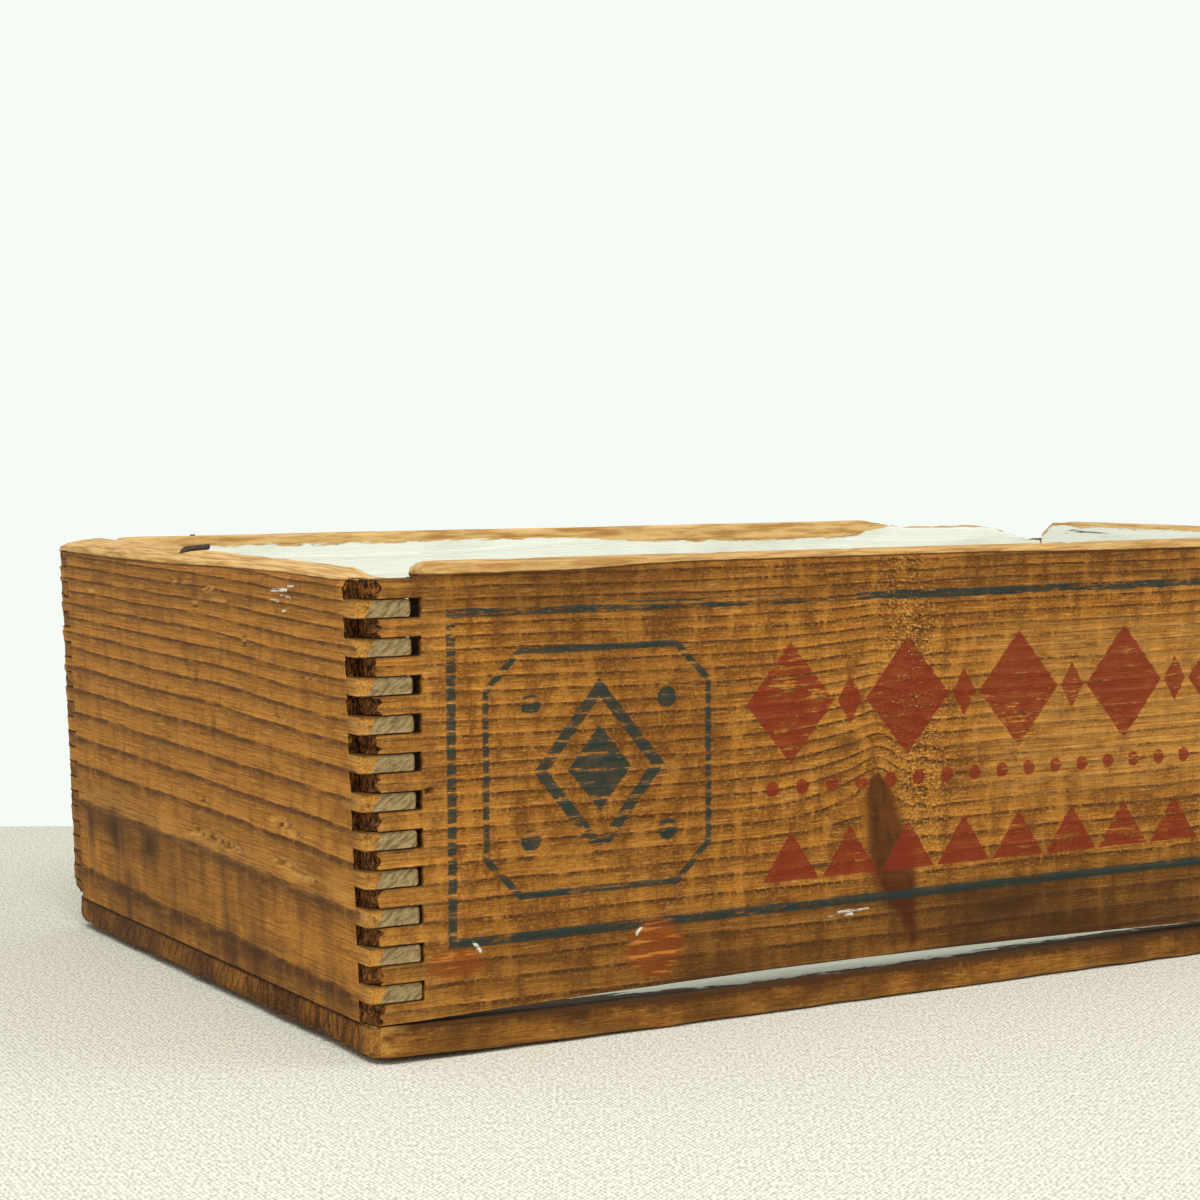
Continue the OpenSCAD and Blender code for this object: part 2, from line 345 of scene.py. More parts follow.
def stand_in(piece, node):
    """Puts a piece in the place of a CAD node."""
    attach(piece, "root")
    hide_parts(node)


def squeeze(z, low, old_top, new_top):
    """Heights above low, drawn together so that old_top comes to new_top."""
    return np.where(z > low, low + (z - low) * (new_top - low) / (old_top - low), z)


# Materials

def tone(red, green, blue):
    """A colour read off in 0 to 255, as the linear value that a shader takes."""
    shares = [c / 255 for c in (red, green, blue)]
    return (*[c / 12.92 if c <= 0.04045 else ((c + 0.055) / 1.055) ** 2.4 for c in shares], 1.0)


class Graph:
    """The nodes of a material or of the world."""

    def __init__(self, owner):
        owner.use_nodes = True
        self.tree = owner.node_tree

    def node(self, kind, inputs, **settings):
        made = self.tree.nodes.new(kind)
        for key, value in settings.items():
            setattr(made, key, value)
        for key, value in inputs.items():
            self.feed(made.inputs[key], value)
        return made

    def feed(self, socket, value):
        if isinstance(value, bpy.types.NodeSocket):
            self.tree.links.new(value, socket)
        else:
            socket.default_value = value

    def field(self, name, output="Fac"):
        return self.node("ShaderNodeAttribute", {}, attribute_name=name).outputs[output]

    def math(self, operation, *values):
        return self.node("ShaderNodeMath", dict(enumerate(values)), operation=operation).outputs[0]

    def join(self, operation, values):
        total = values[0]
        for value in values[1:]:
            total = self.math(operation, total, value)
        return total

    def add(self, *values):
        return self.join("ADD", values)

    def times(self, *values):
        return self.join("MULTIPLY", values)

    def most(self, *values):
        return self.join("MAXIMUM", values)

    def size(self, value):
        return self.math("ABSOLUTE", value)

    def flip(self, value):
        return self.math("SUBTRACT", 1.0, value)

    def rise(self, value, low, high):
        """0 up to low, 1 from high on, and a smooth rise between."""
        ends = {"Value": value, "From Min": low, "From Max": high}
        return self.node("ShaderNodeMapRange", ends, interpolation_type="SMOOTHSTEP").outputs[0]

    def mix(self, share, first, second):
        sockets = {0: share, 6: first, 7: second}
        return self.node("ShaderNodeMix", sockets, data_type="RGBA").outputs[2]

    def parts(self, vector):
        return self.node("ShaderNodeSeparateXYZ", {0: vector}).outputs

    def scaled(self, vector, sizes):
        return self.node("ShaderNodeVectorMath", {0: vector, 1: sizes}, operation="MULTIPLY").outputs[0]

    def place(self):
        """Place on the object in millimetres."""
        return self.scaled(self.node("ShaderNodeTexCoord", {}).outputs["Object"], (1 / MM,) * 3)

    def noise(self, vector, along, across, detail=3.0):
        """Noise whose features run 1/along by 1/across millimetres."""
        inputs = {"Vector": self.scaled(vector, (along, across, across)), "Scale": 1.0, "Detail": detail,
                  "Roughness": 0.6}
        return self.node("ShaderNodeTexNoise", inputs).outputs[0]


class Surface(Graph):
    """The nodes of one material, about its surface shader."""

    def __init__(self, name, roughness=0.6, specular=0.3):
        self.material = bpy.data.materials.new(name)
        super().__init__(self.material)
        self.inputs = self.tree.nodes["Principled BSDF"].inputs
        self.inputs["Specular IOR Level"].default_value = specular
        self.inputs["Roughness"].default_value = roughness

    def bump(self, height, distance, strength=1.0):
        inputs = {"Height": height, "Distance": distance, "Strength": strength}
        self.feed(self.inputs["Normal"], self.node("ShaderNodeBump", inputs).outputs[0])


# Aged pine, from bare golden wood to the dark line of a growth ring
PALE = tone(210, 158, 82)
GOLD = tone(195, 131, 50)
HONEY = tone(165, 104, 34)
BROWN = tone(112, 66, 21)
DARK = tone(66, 39, 16)
# Near-black brown of the painted shade in slots and holes
PAINTED_SHADE_COLOUR = tone(30, 19, 10)
RAW = tone(218, 164, 88)
KNOT = tone(86, 43, 15)
KNOT_DARK = tone(58, 28, 9)
KNOT_RED = tone(78, 28, 9)
RIM = tone(230, 190, 124)
RIM_DARK = tone(180, 132, 72)
GREY_END = tone(166, 142, 100)
GREY_END_DARK = tone(120, 98, 62)
TORN = tone(134, 82, 36)
TORN_DARK = tone(40, 23, 11)
WHITE_PAINT = tone(240, 243, 231)
OLD_PAINT = tone(214, 217, 201)
INK_GREEN = tone(34, 52, 48)
INK_RED = tone(126, 42, 20)
RUST_STAIN = tone(136, 62, 18)
RUST_STREAK = tone(204, 130, 56)


class Wood:
    """Pine that reads the grain, the growth rings and the wear from the board's fields."""

    def __init__(self, name, age, rings=1.0, mottle=0.7, bright_rim=0.95):
        g = self.graph = Surface(name, specular=0.12)
        self.grain = g.field("grain", "Vector")
        self.u, self.v, self.w = g.parts(self.grain)
        self.fibre = self.noise(0.03, 1.3, 5.0)
        self.dashes = self.noise(0.11, 1.25)
        self.growth(age, rings, mottle)
        self.flecks(mottle)
        self.knots_and_dirt()
        self.rubbed()
        self.ends()
        self.rim(bright_rim)

    def noise(self, along, across, detail=3.0):
        return self.graph.noise(self.grain, along, across, detail)

    def waver(self, amount, along, across, detail=3.0):
        """Noise about nought, this far from its lowest to its highest."""
        return self.graph.times(amount, self.graph.add(self.noise(along, across, detail), -0.5))

    def cover(self, colour, *shares):
        """Lays a colour over the wood, as thick as the product of the shares."""
        self.colour = self.graph.mix(self.graph.times(*shares), self.colour, colour)

    def outside(self):
        """1 on the board's outer face, 0 on its edges and inside."""
        return self.graph.flip(self.graph.rise(self.w, 2.0, 3.0))

    def growth(self, age, rings, mottle):
        """Patina, fibres and clouds, with the shade and the broken dark line of each growth ring."""
        g, clear = self.graph, self.graph.flip(self.graph.field("knot"))
        ring = self.ring = g.math("FRACT", g.add(g.field("ring"), self.waver(0.12, 0.12, 0.4)))
        shade = g.times(g.rise(ring, 0.20, 0.90), g.flip(g.rise(ring, 0.94, 1.0)), clear)
        self.line = g.times(g.rise(ring, 0.70, 0.92), g.flip(g.rise(ring, 0.95, 1.0)), clear)
        self.colour = g.mix(g.rise(self.noise(0.012, 0.035), 0.62 - age, 0.92 - age), GOLD, HONEY)
        self.cover(BROWN, 0.5 * rings, shade)
        self.cover(BROWN, 0.6, g.rise(self.fibre, 0.42, 0.66))
        self.cover(BROWN, 0.3 + 0.4 * mottle, g.rise(self.noise(0.03, 0.10, 5.0), 0.48, 0.70))
        self.cover(DARK, 0.85 * rings, self.line, g.rise(self.noise(0.05, 0.3), 0.30, 0.52))

    def flecks(self, mottle):
        """Pale dashes and dark specks, smears across the grain, and stipple, most where it curls."""
        g = self.graph
        specks, stipple = self.noise(0.28, 2.4, 2.0), self.noise(0.75, 0.95, 2.0)
        smears = self.noise(0.15, 0.05, 4.0)
        stirred = g.add(0.3 * mottle, g.times(0.7, g.field("curl")))
        self.cover(PALE, 0.65, g.rise(self.dashes, 0.55, 0.68), g.flip(self.line))
        self.cover(DARK, 0.7, g.rise(specks, 0.58, 0.70))
        self.cover(BROWN, 0.75 * mottle, g.rise(smears, 0.48, 0.66))
        self.cover(GOLD, 0.5 * mottle, g.rise(smears, 0.48, 0.34))
        self.cover(PALE, 0.95, stirred, g.rise(stipple, 0.54, 0.66))
        self.cover(DARK, 0.85, stirred, g.rise(stipple, 0.48, 0.34))
        self.height = g.add(g.times(0.6, self.fibre), g.times(0.5, self.dashes), g.times(0.35, specks),
                            g.times(0.5, self.line), g.times(0.7, stirred, stipple))

    def knots_and_dirt(self):
        g = self.graph
        heart = g.mix(g.rise(self.noise(0.22, 0.06, 4.0), 0.45, 0.65), KNOT, KNOT_DARK)
        self.cover(heart, 0.9, g.rise(g.field("knot"), 0.05, 0.80))
        grime = g.add(g.field("dirt"), self.waver(0.3, 0.05, 0.14, 4.0))
        self.cover(DARK, g.math("MINIMUM", g.most(grime, 0.0), 0.95))

    def rubbed(self):
        """Raw wood in torn places, and bright wood where the surface is worn."""
        g = self.graph
        self.cover(RAW, 0.85, g.field("raw"), g.rise(self.fibre, 0.30, 0.55))
        bright = g.mix(g.rise(self.fibre, 0.45, 0.65), PALE, HONEY)
        self.cover(bright, 0.75, g.field("wear"), g.rise(self.noise(0.08, 0.3), 0.30, 0.55))

    def ends(self):
        """Grey sawn end grain on the fingers' tips, and brown splintered wood where they are torn."""
        g, pits, torn_share = self.graph, self.noise(0.7, 0.9, 4.0), self.graph.field("torn")
        sawn = g.mix(g.rise(self.slanted(), 0.34, 0.60), GREY_END_DARK, GREY_END)
        sawn = g.mix(g.times(0.7, g.rise(pits, 0.60, 0.72)), sawn, DARK)
        finger = g.math("FLOORED_MODULO", g.add(self.v, -FIRST_FINGER_H), 2 * FINGER_H)
        from_edge = g.add(self.w, g.times(-GREY_SLOPE, finger), self.waver(2.4, 0.5, 0.5))
        sawn_share = g.times(g.field("end"), g.rise(from_edge, GREY_FROM - 0.3, GREY_FROM + 0.3))
        self.cover(sawn, sawn_share)
        splinters = g.noise(g.scaled(self.grain, (0.5, 0.42, 1.7)), 1.0, 1.0, 4.0)
        torn = g.mix(g.rise(splinters, 0.40, 0.60), TORN_DARK, TORN)
        torn = g.mix(g.times(0.85, g.rise(splinters, 0.60, 0.68)), torn, GOLD)
        self.cover(torn, torn_share)
        self.roughness = g.add(0.55, g.times(0.25, self.fibre), g.times(0.15, sawn_share))
        self.height = g.add(self.height, g.times(1.6, g.add(sawn_share, torn_share), pits))

    def slanted(self):
        """Noise in streaks that slant up to the right across an end board's finger tips."""
        g = self.graph
        along = g.add(g.times(0.8, self.w), g.times(0.6, self.v))
        across = g.add(g.times(0.8, self.v), g.times(-0.6, self.w))
        return g.noise(g.node("ShaderNodeCombineXYZ", {0: along, 1: across}).outputs[0], 0.22, 0.8, 4.0)

    def rim(self, brightness):
        """The bare top edge, with a dark line along its foot."""
        g = self.graph
        rim = g.add(g.field("rim"), self.waver(0.2, 0.05, 0.12, 4.0))
        self.cover(DARK, 0.75, g.rise(rim, 0.30, 0.46), g.flip(g.rise(rim, 0.48, 0.54)))
        bare = g.mix(g.rise(self.noise(0.04, 0.4, 5.0), 0.38, 0.64), RIM, RIM_DARK)
        self.cover(bare, brightness, g.rise(rim, 0.48, 0.56))

    def paint_inside(self, ragged=5.0):
        """White paint with a ragged edge, worn through along the grain."""
        g = self.graph
        edge = g.rise(g.add(g.field("paint"), self.waver(ragged, 0.09, 0.5, 4.0)), -0.4, 0.4)
        thin = g.add(self.noise(0.02, 0.35, 5.0), g.times(0.05, self.line))
        share = g.times(edge, g.flip(g.rise(thin, 0.70, 0.76)))
        self.cover(g.mix(g.rise(self.noise(0.02, 0.06, 4.0), 0.45, 0.80), WHITE_PAINT, OLD_PAINT), share)
        self.height = g.add(self.height, g.times(1.2, share))

    def finish(self):
        g = self.graph
        # Painted shade in slots, holes and drawn-back finger tips goes on last, over the paint
        self.cover(PAINTED_SHADE_COLOUR, g.field("gloom"))
        g.feed(g.inputs["Base Color"], self.colour)
        g.feed(g.inputs["Roughness"], self.roughness)
        g.bump(self.height, 0.0005, 0.7)
        return g.material


# Print on the front, measured from the lower left corner of its face
BORDER = dict(left=30.2, right=509.8, low=24.6, high=135.2, width=3.4)
LABEL = dict(left=43.0, right=131.0, low=38.5, high=121.5, corner=13.0, width=2.4)
# Rusty stains: middle, half width and half height
STAINS = ((31.0, 18.2, 10.0, 5.0), (109.0, 15.6, 11.2, 10.2))
# Specks and scratches of white: both ends and half width
WHITE_MARKS = ((37.9, 24.5, 40.5, 21.5, 0.5), (103.2, 23.3, 101.4, 21.0, 0.5),
               (183.0, 19.0, 193.0, 19.4, 0.4), (187.0, 20.6, 200.0, 20.8, 0.35))
# Heights between which the green ink wears thinner, up to the border's top line
THIN_INK = (124.0, 134.0)


class Print:
    """Shapes on the front's face, as shares of ink at each place."""

    def __init__(self, wood):
        g = self.graph = wood.graph
        self.u = g.add(wood.u, wood.waver(1.5, 0.35, 0.9))
        self.v = g.add(wood.v, wood.waver(1.0, 0.25, 0.8))

    def away(self, value, middle):
        return self.graph.size(self.graph.add(value, -middle))

    def inside(self, distance, soft=0.35):
        """1 where a signed distance is below zero."""
        return self.graph.flip(self.graph.rise(distance, -soft, soft))

    def frame(self, left, right, low, high, width, corner=0.0):
        """A rectangular line, with its corners cut off slantwise."""
        g = self.graph
        across = g.add(self.away(self.u, (left + right) / 2), -(right - left) / 2)
        up = g.add(self.away(self.v, (low + high) / 2), -(high - low) / 2)
        distance = g.most(across, up)
        if corner:
            distance = g.most(distance, g.times(math.sqrt(0.5), g.add(across, up, corner)))
        return self.inside(g.add(g.size(distance), -width / 2))

    def lozenge(self, u, v, half_l, half_h):
        """A lozenge about the place where u and v are nought."""
        g = self.graph
        edge = g.add(g.times(g.size(u), 1 / half_l), g.times(g.size(v), 1 / half_h), -1.0)
        return self.inside(g.times(edge, min(half_l, half_h)))

    def disc(self, u, v, radius, soft=0.35):
        g = self.graph
        return self.inside(g.add(g.math("SQRT", g.add(g.times(u, u), g.times(v, v))), -radius), soft)

    def stroke(self, u0, v0, u1, v1, half):
        """A short thick line between two places."""
        g = self.graph
        long = math.hypot(u1 - u0, v1 - v0)
        along_u, along_v = (u1 - u0) / long, (v1 - v0) / long
        u, v = g.add(self.u, -(u0 + u1) / 2), g.add(self.v, -(v0 + v1) / 2)
        along = g.add(g.times(u, along_u), g.times(v, along_v))
        past = g.most(g.add(g.size(along), -long / 2), 0.0)
        off = g.add(g.times(u, -along_v), g.times(v, along_u))
        return self.disc(past, off, half)

    def row(self, first, pitch, count):
        """Distance along the face from the nearest middle of a row, and 1 within the row."""
        g = self.graph
        shifted = g.add(self.u, pitch / 2 - first)
        near = g.add(g.math("FLOORED_MODULO", shifted, pitch), -pitch / 2)
        middle = first + pitch * (count - 1) / 2
        return near, self.inside(g.add(self.away(self.u, middle), -pitch * count / 2))

    def green(self):
        """The border, and the label's frame with a lozenge in it."""
        g = self.graph
        u = g.add(self.u, -(LABEL["left"] + LABEL["right"]) / 2)
        v = g.add(self.v, -(LABEL["low"] + LABEL["high"]) / 2)
        ring = g.math("SUBTRACT", self.lozenge(u, v, 26, 31), self.lozenge(u, v, 20.5, 24.5))
        dots = self.disc(g.add(g.size(u), -27), g.add(g.size(v), -23), 3.8)
        return g.most(self.frame(**BORDER), self.frame(**LABEL), ring, self.lozenge(u, v, 12.5, 15), dots)

    def red(self):
        """Rows of lozenges, beads and teeth."""
        g, v = self.graph, self.v
        near, row = self.row(166, 52, 7)
        big = g.times(row, self.lozenge(near, g.add(v, -98), 19, 22))
        near, row = self.row(192, 52, 6)
        small = g.times(row, self.lozenge(near, g.add(v, -98), 5.5, 9))
        near, row = self.row(158, 13, 26)
        beads = g.times(row, self.disc(near, g.add(v, -67.5), 2.8))
        near, row = self.row(166, 26, 13)
        tooth = g.add(g.size(near), g.times(0.68, g.add(v, -34)), -12.2)
        teeth = g.times(row, self.inside(tooth), g.rise(v, 33.7, 34.3))
        return g.most(big, small, beads, teeth)


def front_print(wood):
    """Worn ink, thinner here and there and gone in flecks along the grain."""
    g, shapes, face = wood.graph, Print(wood), wood.outside()
    kept = g.add(g.times(0.5, wood.noise(0.07, 0.6, 4.0)), wood.waver(0.35, 0.014, 0.03, 2.0),
                 g.times(0.28, wood.noise(0.3, 1.2)), g.times(-0.05, wood.line))
    hollow = g.times(g.rise(wood.ring, 0.02, 0.12), g.flip(g.rise(wood.ring, 0.22, 0.42)))
    top_line = g.rise(wood.v, *THIN_INK)
    green_kept = g.rise(g.add(kept, g.times(-0.11, hollow), g.times(-0.05, top_line)), 0.27, 0.33)
    thick = g.add(0.60, g.times(0.55, wood.noise(0.1, 0.25, 4.0)))
    wood.cover(INK_GREEN, thick, face, shapes.green(), green_kept)
    wood.cover(INK_RED, thick, face, shapes.red(), g.rise(kept, 0.27, 0.34))


def round_stains(wood):
    """Rust-red rounds with paler streaks along the grain."""
    g, shapes, face = wood.graph, Print(wood), wood.outside()
    ragged = wood.waver(12.0, 0.10, 0.5, 4.0)
    streaks = g.add(wood.noise(0.04, 0.42), g.times(0.2, wood.fibre))
    for stain_u, stain_v, half_l, half_h in STAINS:
        up = g.times(half_l / half_h, g.add(shapes.v, -stain_v))
        spot = shapes.disc(g.add(shapes.u, -stain_u, ragged), up, half_l, 2.0)
        wood.cover(RUST_STAIN, 0.75, face, spot, g.rise(wood.fibre, 0.20, 0.60))
        wood.cover(RUST_STREAK, 0.7, face, spot, g.rise(streaks, 0.62, 0.70))


def white_marks(wood, marks, start):
    """Scuffs and specks of white, broken along a grain that starts here."""
    g, shapes, face = wood.graph, Print(wood), wood.outside()
    for u0, v0, u1, v1, half in marks:
        stroke = shapes.stroke(u0 + start, v0, u1 + start, v1, half)
        wood.cover(WHITE_PAINT, 0.85, face, stroke, g.rise(wood.dashes, 0.40, 0.52))


def front_pine():
    wood = Wood("front_pine", age=0.30, rings=1.1, mottle=1.0, bright_rim=0.78)
    g = wood.graph
    wood.cover(KNOT_RED, 0.75, g.rise(g.field("knot"), 0.1, 0.7), g.rise(wood.v, 42.0, 12.0))
    front_print(wood)
    round_stains(wood)
    white_marks(wood, WHITE_MARKS, FRONT_START)
    wood.paint_inside()
    return wood.finish()


def end_pine(name, start, marks=()):
    wood = Wood(name, age=0.05, mottle=0.5)
    white_marks(wood, marks, start)
    wood.paint_inside()
    return wood.finish()


def plain_pine(name, age, ragged=5.0):
    wood = Wood(name, age)
    wood.paint_inside(ragged)
    return wood.finish()


def rusted_iron():
    g = Surface("rusted_iron", roughness=0.7, specular=0.4)
    place = g.place()
    blotch = g.noise(place, 0.8, 0.8, 5.0)
    fine = g.noise(place, 4.0, 4.0, 3.0)
    colour = g.mix(g.rise(blotch, 0.38, 0.62), tone(66, 66, 68), tone(84, 58, 42))
    colour = g.mix(g.times(0.6, g.rise(fine, 0.5, 0.7)), colour, tone(40, 36, 34))
    g.feed(g.inputs["Base Color"], colour)
    g.feed(g.inputs["Metallic"], g.times(0.6, g.flip(g.rise(blotch, 0.38, 0.62))))
    g.bump(g.add(blotch, fine), 0.0002)
    return g.material


# Shapes of the boards. On each, u runs along the grain, v across it and w into the wood

# Where each board's grain starts, far enough apart for no two boards to share a pattern
FRONT_START, BACK_START, LEFT_START, RIGHT_START, BOTTOM_START = range(0, 10000, 2000)
# Growth rings across each board: a place and the width of a ring there
FRONT_RINGS = ((0, 8), (24, 7), (60, 5.6), (100, 5.0), (152, 3.9))
BACK_RINGS = ((0, 4.6), (35, 8.5), (55, 4.4), (90, 6.5), (110, 12), (130, 7), (152, 11))
LEFT_RINGS = ((0, 34), (30, 30), (45, 17), (60, 11), (75, 10), (93, 9), (105, 7), (120, 6), (135, 5),
              (150, 4))
RIGHT_RINGS = ((0, 5), (30, 9), (50, 5), (80, 8), (110, 13), (130, 8), (150, 16))
BOTTOM_RINGS = ((-10, 9), (60, 7), (150, 5), (230, 7), (310, 10))
# Combs of the sides and of the ends: where the fingers' tips are, their length and the board's top
COMBS = ((RIGHT_X, SLOT_L, SIDE_TOP), (BACK_Y, NOTCH_L, END_TOP))
# The inside's paint ends this far from an arris, and this steeply there and at a corner
PAINT_SHORT, ARRIS_STEEP, CORNER_STEEP = 0.9, 12, 2
INSIDE_CORNER = (RIGHT_X - END_T, BACK_Y - SIDE_T)


def comb_board(lines, cells, axis):
    """A softened board, and the points of its finger tips, of its slots' roots and of their flanks."""
    board = Board(lines, cells)
    limit, length, top = COMBS[axis]
    along, z = np.abs(board.flat[:, axis]), board.flat[:, 2]
    tips = board.on(axis) & (along > limit - 0.2)
    roots = board.on(axis) & (np.abs(along - limit + length) < 0.1)
    flanks = board.on(2) & (along > limit - length + 0.1) & (z > WALL_Z + 0.1) & (z < top - 0.1)
    board.soften()
    return board, tips, roots, flanks


def rim_share(below_top, band):
    """Rises from nought to one up to a board's top edge, half way at the foot of its bright band."""
    return np.clip(1 - below_top / (2 * band), 0, 1)


def inside_paint(board, axis, below, w, thick):
    """How far a place lies within the paint: below its upper edge, past the arris, off the corner."""
    to_corner = INSIDE_CORNER[axis] - np.abs(board.points[:, axis])
    return np.minimum.reduce([below, ARRIS_STEEP * (w - thick + PAINT_SHORT), CORNER_STEEP * to_corner])


def side_lines(y):
    """Grid lines of the front or back board, through every edge of the comb."""
    edges = [WALL_Z] + [WALL_Z + FIRST_FINGER_H + FINGER_H * k for k in range(2 * SLOTS - 1)] + [SIDE_TOP]
    run = comb_run(LEFT_X, RIGHT_X, SLOT_L, 2.4, 3.2)
    return run, with_edges(through([y, y + SIDE_T], 1.2)), comb_rows(edges, 0.85)


def side_cells(lines):
    x, _, z = middles(lines)
    return ~((np.abs(x) > RIGHT_X - SLOT_L) & in_slot(z))


def side_gloom(board, roots, flanks):
    """Painted shade in a side board's slots, except in the top one, which lies open."""
    return np.maximum(roots, 0.8 * flanks) * smooth(TOP_SLOT_Z - board.flat[:, 2], -0.5, 0.5)


# Knot in the front board: a spike that runs slantwise from its top to its foot
KNOT_TOP, KNOT_FOOT, KNOT_HALF = (203.0, 70.0), (222.0, 3.0), 11.0
# Dark spot on the front, and a worm hole: its middle, half length, half height and depth
DARK_SPOT, WORM_HOLE = (190.7, 81.7), (21.9, 76.4, 1.3, 1.3, 1.6)
# How far behind its tips the front board's torn fingers are drawn in
TIP_REACH = 10


def knot_share(u, v):
    """0 off the spike knot, rising to 1 along its middle."""
    top, foot = np.array(KNOT_TOP), np.array(KNOT_FOOT)
    along = foot - top
    t = np.clip(((u - top[0]) * along[0] + (v - top[1]) * along[1]) / (along @ along), 0, 1)
    away = np.hypot(u - top[0] - t * along[0], v - top[1] - t * along[1])
    half = KNOT_HALF * np.sqrt(np.clip(4 * t * (1 - t) * (1.25 - 0.7 * t), 0.01, 1))
    half = half * (1 - 0.4 * smooth(t, 0.45, 1))
    share = 1 - smooth(away / half + 0.3 * noise(33, 3, u / 8, v / 16, 0.5), 0.1, 1.5)
    return share * (1 - 0.5 * smooth(t, 0.62, 0.98))


def over_knot(u, v):
    """How far the growth rings arch up over the knot, widely and once more close above it."""
    beside = u - KNOT_TOP[0]
    wide = 8 * bell(beside, np.where(beside < 0, 24, 14)) * np.exp(-np.abs(v - 66) / 30) * smooth(v, 30, 64)
    close = 5 * bell(beside - 1, 7.5) * smooth(v, 56, 68) * np.exp(-np.maximum(v - 68, 0) / 26)
    return wide + close


def wear_front(board):
    """Wears the front board's arrises, finger tips and hollow foot. Gives how torn its ends are."""
    nicks = board.nicks(9, 0.5, 5)
    board.round_arrises(
        (FRONT, SIDE_RIM, 3.4 * nicks), (FRONT_INSIDE, SIDE_RIM, 1.2 * nicks), (LEFT_NOTCH, SIDE_RIM, 4.8),
        (LEFT, FRONT, 1.2 * nicks), (RIGHT, FRONT, 1.2 * nicks))
    _, w, v = (board.flat - [LEFT_X, FRONT_Y, WALL_Z]).T
    torn = noise(12, 2, 0.5, w / 1.6, v / 1.6)
    chips = smooth(noise(13, 2, 0.5, w / 5, v / 1.7), -0.1, 0.5) * smooth(w, 5, 0.5)
    board.shorten(LEFT, TIP_REACH, 0.3 + 1.4 * smooth(w, 6, 0.5) + 2.2 * chips + 0.7 * (1 + torn))
    board.shorten(RIGHT, TIP_REACH, 0.6 * (1 + torn))
    middle, first = LEFT_X + END_T + HOLLOW_L / 2, WALL_Z + FIRST_FINGER_H
    rise = HOLLOW_RISE * np.clip(1 - ((board.x - middle) / (HOLLOW_L / 2)) ** 2, 0, 1)
    lifted = first - (first - board.z) * (FIRST_FINGER_H - rise) / FIRST_FINGER_H
    board.z[:] = np.where(board.z < first, lifted, board.z)
    return torn


def front_clear(u, v):
    """The cleaner, brighter part of the front, right of the knot."""
    return smooth(u, 240, 270) * smooth(v, 48, 66) * smooth(v, 128, 116)


def front_dirt(u, v, w):
    """Dirt along the front's edges and on its left part, in a spot and beside the knot."""
    dirt = (0.26 + 0.40 * smooth(u, 100, 150)) * smooth(v, 30, 23) + 0.26 * smooth(v, 128, 139)
    dirt += 0.16 * smooth(u, 222, 250) * smooth(v, 46, 26) + 0.14 * smooth(u, 150, 120) * smooth(u, 34, 60)
    dirt *= 1.0 + 0.4 * noise(41, 3, u / 50, v / 18, w / 20)
    spot = bell(u - DARK_SPOT[0], 5) * bell(v - DARK_SPOT[1], 4)
    by_knot = bell(u - 199 - 0.28 * (64 - v), 4.5) * smooth(v, 70, 56) * smooth(v, 6, 24)
    return dirt - 0.20 * front_clear(u, v) + 0.7 * spot + 0.35 * by_knot


def front_board():
    lines = side_lines(FRONT_Y)
    board, tips, roots, flanks = comb_board(lines, side_cells(lines), 0)
    torn = wear_front(board)
    u, w, v = (board.points - [LEFT_X, FRONT_Y, WALL_Z]).T
    knot = knot_share(u, v) * smooth(w, 6.0, 3.0)
    curl = bell(u - 224 + 0.10 * (v - 66), 11) * smooth(v, 30, 64) * smooth(w, 3, 1)
    stir = noise(31, 2, u / 4, v / 2.2, w / 4)
    ring = ring_count(waved(u, v, w, 3) - over_knot(u, v), FRONT_RINGS) + 0.3 * curl * stir
    worm = gouges(u, v, [WORM_HOLE], 8) * (w < 2)
    pitted = 0.5 * smooth(noise(77, 3, u / 9, v / 1.8, w / 3), 0.35, 0.9) * smooth(v, 118, 140)
    relief = raised_grain(u, v, w, ring, 0.42, 7, SIDE_T) * (1 - 0.7 * knot) + 0.2 * curl * (1 + stir)
    board.sink((relief + pitted) * ~flanks + worm)

    below_top = SIDE_TOP - board.z
    rim_band = 4.2 - 1.8 * smooth(u, 60, 130) + 0.8 * smooth(u, 240, 320)
    # Painted shade in the slots, on the torn finger tips worn back behind the end's face, and in the worm
    # hole
    slots = side_gloom(board, roots * smooth(w, 0.2, 3.0) * 0.92, flanks)
    board.make(
        "front_board", "side_pine", front_pine(), (u + FRONT_START, v, w), ring=ring, knot=knot, curl=curl,
        torn=tips, dirt=front_dirt(u, v, w), wear=0.5 * front_clear(u, v) + 0.25 * smooth(u, 34, 20),
        rim=rim_share(below_top, rim_band), paint=inside_paint(board, 0, below_top - 4.6, w, SIDE_T),
        gloom=np.maximum.reduce([slots, 0.5 * tips * smooth(torn, 0.1, 0.7), 0.9 * (worm > 0.3)]))


def wear_back(board):
    """Wears the back board's arrises, splits its top and leans its fingers. Gives that split and top."""
    nicks = board.nicks(9, 0.5, 15)
    board.round_arrises(
        (BACK, SIDE_RIM, 1.7 * nicks), (BACK_INSIDE, SIDE_RIM, 2.0 * nicks), (LEFT, BACK, 1.0 * nicks),
        (RIGHT, BACK, 1.8 * nicks), (LEFT, SIDE_FOOT, 6.0), (LEFT_NOTCH, SIDE_RIM, 4.0))
    split = smooth(board.x, *SPLIT_STEP)
    fall = SPLIT_STEP_H * split + (SIDE_TOP - SPLIT_Z - SPLIT_STEP_H) * smooth(board.x, *SPLIT_END)
    top = SIDE_TOP - fall
    board.z[:] = squeeze(board.z, SPLIT_FLOOR, SIDE_TOP, top)
    along_finger = np.clip((LEFT_X + SLOT_L - board.x) / SLOT_L, 0, 1)
    board.x -= BACK_LEAN * (board.z - WALL_Z) * along_finger
    return split, top


